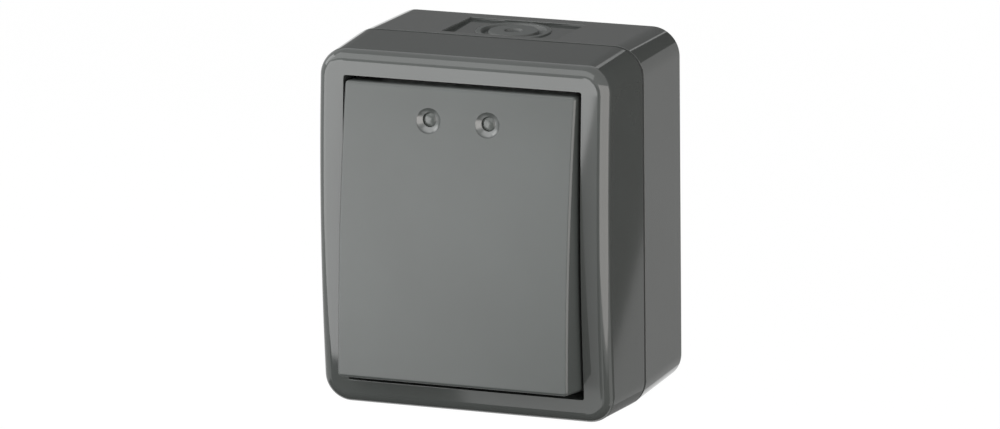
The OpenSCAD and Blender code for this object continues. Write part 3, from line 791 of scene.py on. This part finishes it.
def spread(tree, value, low, high):
    """Draws the middle of a noise out to a low and a high value."""
    node = tree.nodes.new("ShaderNodeMapRange")
    for socket, number in (("Value", value), ("From Min", 0.3), ("From Max", 0.7),
                           ("To Min", low), ("To Max", high)):
        feed(tree, node.inputs[socket], number)
    return node.outputs["Result"]


def bump(tree, height, strength, under=None):
    """Raises the surface by up to 0.05 mm, on top of an earlier bump."""
    node = tree.nodes.new("ShaderNodeBump")
    node.inputs["Distance"].default_value = 0.05 * MM
    feed(tree, node.inputs["Strength"], strength)
    feed(tree, node.inputs["Height"], height)
    if under is not None:
        feed(tree, node.inputs["Normal"], under)
    return node.outputs["Normal"]


def moulding_skin():
    """Effect shared by all finishes: a cloudy colour, a grainy gloss, a slight wave and fine grain."""
    skin = bpy.data.node_groups.new("moulding_skin", "ShaderNodeTree")
    for socket, kind in (("Place", "Vector"), ("Dark", "Color"), ("Light", "Color"),
                         ("Cloud Scale", "Float"), ("Grain Scale", "Float"),
                         ("Smoothest", "Float"), ("Roughest", "Float"),
                         ("Wave Strength", "Float"), ("Grain Strength", "Float")):
        skin.interface.new_socket(name=socket, in_out="INPUT", socket_type="NodeSocket" + kind)
    for socket, kind in (("Colour", "Color"), ("Roughness", "Float"), ("Normal", "Vector")):
        skin.interface.new_socket(name=socket, in_out="OUTPUT", socket_type="NodeSocket" + kind)
    given = skin.nodes.new("NodeGroupInput").outputs
    result = skin.nodes.new("NodeGroupOutput").inputs
    cloud = noise(skin, given["Place"], given["Cloud Scale"], detail=4, roughness=0.55)
    grain = noise(skin, given["Place"], given["Grain Scale"], detail=2, roughness=0.5)
    wave_scale = 0.12 / MM
    wave = noise(skin, given["Place"], wave_scale, detail=1, roughness=0.55)
    colour = skin.nodes.new("ShaderNodeMix")
    colour.data_type = "RGBA"
    feed(skin, colour.inputs["Factor"], spread(skin, cloud, 0, 1))
    feed(skin, colour.inputs["A"], given["Dark"])
    feed(skin, colour.inputs["B"], given["Light"])
    feed(skin, result["Colour"], colour.outputs["Result"])
    feed(skin, result["Roughness"], spread(skin, grain, given["Smoothest"], given["Roughest"]))
    waved = bump(skin, wave, given["Wave Strength"])
    feed(skin, result["Normal"], bump(skin, grain, given["Grain Strength"], waved))
    return skin


skin_of_all = moulding_skin()


def skinned(name, dark, light, gloss, grain, grain_strength, cloud=0.045, wave_strength=0.03):
    """A material that wears the shared skin with its own values. Scales are in features per millimetre."""
    made = bpy.data.materials.new(name)
    made.use_nodes = True
    tree = made.node_tree
    tree.nodes.clear()
    surface = tree.nodes.new("ShaderNodeBsdfPrincipled")
    output = tree.nodes.new("ShaderNodeOutputMaterial")
    tree.links.new(surface.outputs["BSDF"], output.inputs["Surface"])
    where = tree.nodes.new("ShaderNodeTexCoord")
    skin = tree.nodes.new("ShaderNodeGroup")
    skin.node_tree = skin_of_all
    for socket, value in (("Place", where.outputs["Object"]), ("Dark", (*dark, 1)), ("Light", (*light, 1)),
                          ("Cloud Scale", cloud / MM), ("Grain Scale", grain / MM),
                          ("Smoothest", gloss[0]), ("Roughest", gloss[1]),
                          ("Wave Strength", wave_strength), ("Grain Strength", grain_strength)):
        feed(tree, skin.inputs[socket], value)
    for socket, result in (("Base Color", "Colour"), ("Roughness", "Roughness"), ("Normal", "Normal")):
        feed(tree, surface.inputs[socket], skin.outputs[result])
    return made, surface


def moulded(name, dark, light, gloss, grain, grain_strength, specular=0.5):
    """Moulded plastic or rubber."""
    made, surface = skinned(name, dark, light, gloss, grain, grain_strength)
    surface.inputs["Specular IOR Level"].default_value = specular
    return made


def metal(name, dark, light, gloss):
    """Plain or plated sheet and wire."""
    made, surface = skinned(name, dark, light, gloss, grain=1.2, grain_strength=0.05, cloud=1.2,
                            wave_strength=0)
    surface.inputs["Metallic"].default_value = 1
    return made


def clear(name, dark, light, gloss, transmission):
    """Clear or smoked moulding."""
    made, surface = skinned(name, dark, light, gloss, grain=0.4, grain_strength=0.01, cloud=0.4,
                            wave_strength=0)
    surface.inputs["Transmission Weight"].default_value = transmission
    surface.inputs["IOR"].default_value = 1.49
    return made


finishes = {
    "housing_plastic": moulded("housing_finish", (0.047, 0.051, 0.049), (0.052, 0.057, 0.055),
                               gloss=(0.05, 0.07), grain=9, grain_strength=0.002),
    "rocker_plastic": moulded("rocker_finish", (0.044, 0.049, 0.047), (0.049, 0.055, 0.053),
                              gloss=(0.30, 0.36), grain=9, grain_strength=0.03),
    "dish_plastic": moulded("dish_finish", (0.050, 0.055, 0.053), (0.055, 0.061, 0.059),
                            gloss=(0.22, 0.26), grain=9, grain_strength=0.01, specular=0.95),
    "grommet_rubber": moulded("grommet_finish", (0.047, 0.052, 0.050), (0.055, 0.060, 0.058),
                              gloss=(0.42, 0.50), grain=6, grain_strength=0.05),
    "seal_rubber": moulded("seal_and_gap_shade_finish", (0.012, 0.012, 0.013), (0.018, 0.018, 0.019),
                           gloss=(0.60, 0.72), grain=5, grain_strength=0.08),
    "insulating_plastic": moulded("insulating_finish", (0.62, 0.60, 0.54), (0.70, 0.68, 0.62),
                                  gloss=(0.36, 0.46), grain=7, grain_strength=0.04),
    "board": moulded("board_finish", (0.05, 0.13, 0.07), (0.07, 0.17, 0.09),
                     gloss=(0.38, 0.46), grain=4, grain_strength=0.05),
    "brass": metal("brass_finish", (0.66, 0.44, 0.17), (0.76, 0.54, 0.24), gloss=(0.22, 0.34)),
    "plated_steel": metal("plated_finish", (0.55, 0.56, 0.57), (0.68, 0.69, 0.70), gloss=(0.24, 0.36)),
    "lamp_glass": clear("lamp_finish", (0.84, 0.84, 0.82), (0.90, 0.90, 0.88),
                        gloss=(0.04, 0.06), transmission=0.9),
    "lens_plastic": clear("lens_finish", (0.08, 0.09, 0.085), (0.11, 0.12, 0.115),
                          gloss=(0.18, 0.22), transmission=0.35),
}

modelled = (
    (cover, "housing", "housing_plastic", ("front_cover",)),
    (box, "housing", "housing_plastic", ("rear_box",)),
    (rocker, "rocker", "rocker_plastic", ("rocker",)),
    (lens_left, "rocker", "lens_plastic", ("lens_left",)),
    (lens_right, "rocker", "lens_plastic", ("lens_right",)),
    (grommet_top, "housing", "grommet_rubber", ("top_entry_grommet",)),
    (grommet_bottom, "housing", "grommet_rubber", ("bottom_entry_grommet",)),
)
for piece, body, finish, nodes in modelled:
    if not piece.data.materials:
        piece.data.materials.append(None)
    piece.data.materials[0] = finishes[finish]
    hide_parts(*nodes)
    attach(piece, body)

# Dark seal rubber on the box's shadow gap is painted shade in the seam. The box's own groove has no seal
# there.
box.data.materials[1] = finishes["seal_rubber"]
rocker.data.materials[1] = finishes["dish_plastic"]

inner_finishes = {
    "seal_rubber": ("box_gasket", "sealing_membrane"),
    "plated_steel": ("cover_screws", "mechanism_screws", "terminal_clamps", "terminal_screws", "lamp_leads",
                     "plunger_spring"),
    "insulating_plastic": ("mechanism_base", "mechanism_plate", "actuator", "plunger"),
    "brass": ("mechanism_rivets", "common_contact", "upper_contact", "lower_contact", "contact_bridge"),
    "board": ("lamp_board",),
    "lamp_glass": ("pilot_lamp_left", "pilot_lamp_right"),
}
for finish, names in inner_finishes.items():
    for name in names:
        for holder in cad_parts[name].material_slots:
            holder.material = finishes[finish]


# Camera: seen from the right and a little above, as fitted to the photograph

def towards(turn, lift):
    """Direction from the switch, in degrees to the right of straight in front and degrees up."""
    turn, lift = math.radians(turn), math.radians(lift)
    return Vector((math.sin(turn) * math.cos(lift), -math.cos(turn) * math.cos(lift), math.sin(lift)))


view_turn = 21.696
view_lift = 13.490
view_roll = math.radians(-0.659)
view_distance = 1.6515
view_centre = Vector((0, -0.025, 0))
view_shift = Vector((1.323, 1.016)) * MM
lens_length = 285.56

back = towards(view_turn, view_lift)
level = towards(view_turn + 90, 0)
upright = back.cross(level)
right = math.cos(view_roll) * level + math.sin(view_roll) * upright
top = -math.sin(view_roll) * level + math.cos(view_roll) * upright

deselect()
bpy.ops.object.camera_add(
    location=view_centre + view_distance * back + view_shift.x * right + view_shift.y * top)
camera = bpy.context.object
camera.name = "camera"
camera.rotation_euler = Matrix((right, top, back)).transposed().to_euler()
camera.data.lens = lens_length
camera.data.sensor_width = 36
camera.data.clip_start = 0.1
camera.data.clip_end = 20
bpy.context.scene.camera = camera


# Studio: white room, four soft lamps, and cards that the camera doesn't see but the switch's gloss mirrors

def plain_stage(name, size, middle, facing, colour):
    """Flat studio card that faces a point."""
    deselect()
    bpy.ops.mesh.primitive_plane_add(size=1, location=middle)
    card = bpy.context.object
    card.name = name
    card.scale = (size[0], size[1], 1)
    card.rotation_euler = (facing - Vector(middle)).to_track_quat("Z", "Y").to_euler()
    lighter = tuple(c * 1.05 for c in colour)
    paper, surface = skinned(name + "_paper", colour, lighter, gloss=(0.88, 0.92), grain=0.02,
                             grain_strength=0, cloud=0.02, wave_strength=0)
    surface.inputs["Specular IOR Level"].default_value = 0.1
    card.data.materials.append(paper)
    return card, surface


def seen_rays(tree):
    """One where a ray comes from the camera, a mirror or glass."""
    path = tree.nodes.new("ShaderNodeLightPath")
    total = path.outputs["Is Camera Ray"]
    for name in ("Is Glossy Ray", "Is Transmission Ray"):
        either = tree.nodes.new("ShaderNodeMath")
        either.operation = "MAXIMUM"
        tree.links.new(total, either.inputs[0])
        tree.links.new(path.outputs[name], either.inputs[1])
        total = either.outputs["Value"]
    return total


def lamp(name, turn, lift, distance, size, radiance, roll=0, tint=(1, 1, 1)):
    """Soft rectangular lamp that faces the switch."""
    spot = distance * towards(turn, lift)
    deselect()
    bpy.ops.object.light_add(type="AREA", location=spot)
    light = bpy.context.object
    light.name = name
    light.rotation_euler = (-spot).to_track_quat("-Z", "Y").to_euler()
    light.rotation_euler.rotate_axis("Z", math.radians(roll))
    light.data.shape = "RECTANGLE"
    light.data.size, light.data.size_y = size
    light.data.energy = radiance * math.pi * size[0] * size[1]
    light.data.color = tint


def flag(name, size, middle, facing, brightness, oval=False):
    """Studio card, hidden from the camera, that shows one plain brightness in the switch's gloss."""
    card, surface = plain_stage(name, size, middle, facing, (0.02, 0.02, 0.02))
    if oval:
        take_all(card)
        bpy.ops.mesh.bevel(offset_type="PERCENT", offset_pct=50, offset=50, segments=24, affect="VERTICES",
                           profile=0.5)
        bpy.ops.object.mode_set(mode="OBJECT")
    surface.inputs["Emission Color"].default_value = (1, 1, 1, 1)
    surface.inputs["Emission Strength"].default_value = brightness
    card.visible_camera = False


floor_height = -0.42
floor_white = 1.12
floor_white_share = 0.8
floor, floor_surface = plain_stage("floor", (8, 8), (0, 0, floor_height), Vector((0, 0, 5)),
                                   (0.86, 0.86, 0.86))
floor_tree = floor.active_material.node_tree
glow = floor_tree.nodes.new("ShaderNodeEmission")
glow.inputs["Color"].default_value = (1, 1, 1, 1)
glow.inputs["Strength"].default_value = floor_white
white_share = floor_tree.nodes.new("ShaderNodeMath")
white_share.operation = "MULTIPLY"
white_share.inputs[1].default_value = floor_white_share
share = floor_tree.nodes.new("ShaderNodeMixShader")
floor_out = next(n for n in floor_tree.nodes if n.type == "OUTPUT_MATERIAL")
feed(floor_tree, white_share.inputs[0], seen_rays(floor_tree))
feed(floor_tree, share.inputs["Fac"], white_share.outputs["Value"])
feed(floor_tree, share.inputs[1], floor_surface.outputs["BSDF"])
feed(floor_tree, share.inputs[2], glow.outputs["Emission"])
feed(floor_tree, floor_out.inputs["Surface"], share.outputs["Shader"])

room_light = 0.55
background = 1.0
world = bpy.data.worlds.new("studio_air")
bpy.context.scene.world = world
world.use_nodes = True
air = world.node_tree
sky = air.nodes["Background"]
sky.inputs["Color"].default_value = (1, 1, 1, 1)
ambient = air.nodes.new("ShaderNodeMapRange")
ambient.inputs["To Min"].default_value = room_light
ambient.inputs["To Max"].default_value = background
air.links.new(seen_rays(air), ambient.inputs["Value"])
air.links.new(ambient.outputs["Result"], sky.inputs["Strength"])

lamp("key_lamp", turn=-36.8, lift=-1.2, distance=0.42, size=(0.33, 0.285), radiance=3.6, roll=-18)
lamp("left_lamp", turn=-79, lift=27, distance=0.80, size=(0.38, 0.36), radiance=3.2)
lamp("right_lamp", turn=57, lift=4, distance=0.70, size=(1.35, 0.60), radiance=2.85, tint=(1, 0.95, 0.92))
lamp("upper_lamp", turn=-30, lift=46, distance=0.9, size=(1.00, 0.68), radiance=1.9)

switch_middle = Vector((0, 0, 0))
side_spot = Vector((0.1931, 0.1251, 0.030))
bounce_spot = Vector((-0.033, -0.33, -0.233))
low_left_spot = Vector((-0.206, -0.335, -0.238))
under_spot = Vector((-0.04, -0.10, -0.16))

flag("grey_flag", (0.62, 0.90), 0.75 * towards(152, -12), switch_middle, brightness=0.5)
flag("side_flag", (0.185, 0.36), side_spot, side_spot - towards(140, 0), brightness=0.02, oval=True)
flag("corner_flag", (0.34, 0.34), 0.55 * towards(156, 30), switch_middle, brightness=0.03)
flag("rear_flag", (0.50, 0.30), 0.62 * towards(202, 21), Vector((0, 0, 0.1)), brightness=0.20)
flag("low_rear_flag", (0.70, 0.36), 0.55 * towards(164, -48), switch_middle, brightness=0.25)
flag("front_flag", (0.20, 0.44), 0.52 * towards(0, -13), switch_middle, brightness=0.25)
flag("bounce_card", (0.185, 0.15), bounce_spot, Vector((bounce_spot.x, 1, bounce_spot.z)), brightness=1.6)
flag("low_left_flag", (0.16, 0.16), low_left_spot, Vector((low_left_spot.x, 1, low_left_spot.z)),
     brightness=0.06)
flag("under_flag", (0.44, 0.22), under_spot, Vector((under_spot.x, under_spot.y, 1)), brightness=0.02)
flag("low_right_flag", (0.60, 0.30), 0.65 * towards(52, -34), switch_middle, brightness=0.05)
